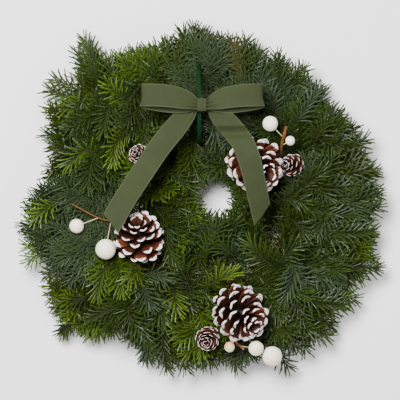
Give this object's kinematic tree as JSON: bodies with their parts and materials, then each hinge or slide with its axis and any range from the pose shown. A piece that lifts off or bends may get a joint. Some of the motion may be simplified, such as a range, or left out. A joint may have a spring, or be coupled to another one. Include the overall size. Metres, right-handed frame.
{
  "type": "fir wreath",
  "caption": "Round fir wreath on a straw ring, with pine cones, larch cones, white berries and a ribbon bow, lying on its back to rest or hang flat.",
  "frame": {"origin": "centre of the bounding box, on the plane that the wreath's flat back rests on", "axes": "+Z out of the front of the wreath, +Y towards its top, where the bow is"},
  "size_m": [0.42, 0.401, 0.0963],
  "materials": {
    "straw": "bound straw, rough",
    "green_wire": "green lacquered",
    "green_twine": "flat twisted twine",
    "sage_ribbon": "matt ribbed ribbon",
    "cone_brown": "dry scales with white painted rims",
    "twig_bark": "brown paper-wrapped twig and wire",
    "white_foam": "fine-grained foam",
    "fir_green": "waxy dark needles",
    "noble_fir_blue": "waxy blue-grey needles",
    "fresh_fir_green": "waxy light needles"
  },
  "bodies": {
    "root": {"berry_bottom_large": "white_foam", "berry_bottom_middle": "white_foam", "berry_bottom_small": "white_foam", "berry_left_large": "white_foam", "berry_left_small": "white_foam", "berry_right_large": "white_foam", "berry_right_small": "white_foam", "binding_wire": "green_wire", "bow_knot": "sage_ribbon", "bow_loops": "sage_ribbon", "bow_tail_left": "sage_ribbon", "bow_tail_right": "sage_ribbon", "crown_spray_01": "fresh_fir_green", "crown_spray_02": "fir_green", "crown_spray_03": "noble_fir_blue", "crown_spray_04": "fresh_fir_green", "crown_spray_05": "fir_green", "crown_spray_06": "fresh_fir_green", "crown_spray_07": "fir_green", "crown_spray_08": "fir_green", "crown_spray_09": "noble_fir_blue", "crown_spray_10": "fir_green", "crown_spray_11": "noble_fir_blue", "crown_spray_12": "noble_fir_blue", "green_tie": "green_twine", "inner_spray_01": "fir_green", "inner_spray_02": "fir_green", "inner_spray_03": "fresh_fir_green", "inner_spray_04": "fir_green", "inner_spray_05": "fresh_fir_green", "inner_spray_06": "fir_green", "inner_spray_07": "noble_fir_blue", "inner_spray_08": "fir_green", "inner_spray_09": "fir_green", "inner_spray_10": "noble_fir_blue", "inner_spray_11": "fir_green", "inner_spray_12": "noble_fir_blue", "larch_cone_bottom": "cone_brown", "larch_cone_left": "cone_brown", "larch_cone_right": "cone_brown", "larch_wire_left": "twig_bark", "outer_spray_01": "fir_green", "outer_spray_02": "fresh_fir_green", "outer_spray_03": "fir_green", "outer_spray_04": "noble_fir_blue", "outer_spray_05": "fresh_fir_green", "outer_spray_06": "fir_green", "outer_spray_07": "noble_fir_blue", "outer_spray_08": "fir_green", "outer_spray_09": "fresh_fir_green", "outer_spray_10": "fir_green", "outer_spray_11": "noble_fir_blue", "outer_spray_12": "noble_fir_blue", "pick_bottom": "twig_bark", "pick_left": "twig_bark", "pick_right": "twig_bark", "pine_cone_bottom": "cone_brown", "pine_cone_left": "cone_brown", "pine_cone_right": "cone_brown", "straw_ring": "straw"}
  },
  "joints": []
}
